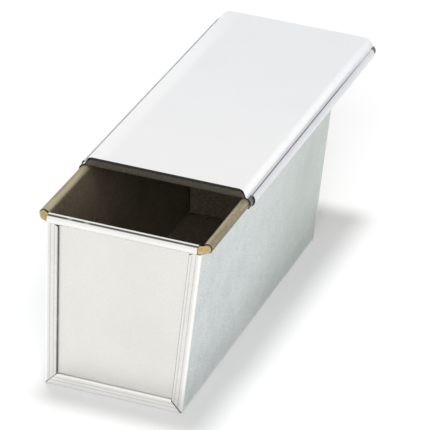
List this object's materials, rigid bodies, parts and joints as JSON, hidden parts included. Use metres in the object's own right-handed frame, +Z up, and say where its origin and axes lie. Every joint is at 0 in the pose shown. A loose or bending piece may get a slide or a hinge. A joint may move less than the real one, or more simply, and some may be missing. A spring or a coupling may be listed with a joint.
{
  "type": "lidded loaf pan",
  "caption": "Slim tapered loaf pan of folded sheet steel with a wired rim and a raised lid that slides along the rolled side edges.",
  "frame": {"origin": "centre of the pan's flat underside, on the surface it stands on", "axes": "+Z up, +Y along the pan towards the end the lid slides out over, X across the pan"},
  "size_m": [0.0918, 0.2749, 0.0979],
  "materials": {
    "wrap_sheet": "bright aluminised sheet with a fine mottled grain, dark brown non-stick coating inside",
    "end_sheet": "bright aluminised sheet, dark brown non-stick coating inside",
    "wire": "golden drawn wire",
    "lid_sheet": "bright aluminised sheet, dark brown non-stick coating on the underside"
  },
  "bodies": {
    "pan": {"body_wrap": "wrap_sheet", "front_end_panel": "end_sheet", "rear_end_panel": "end_sheet", "rim_wire": "wire"},
    "lid": {"lid": "lid_sheet"}
  },
  "joints": [
    {"name": "lid_slide", "type": "slide", "parent": "pan", "child": "lid", "axis": [0, 1, 0], "range_m": [-0.058, 0.15]}
  ]
}
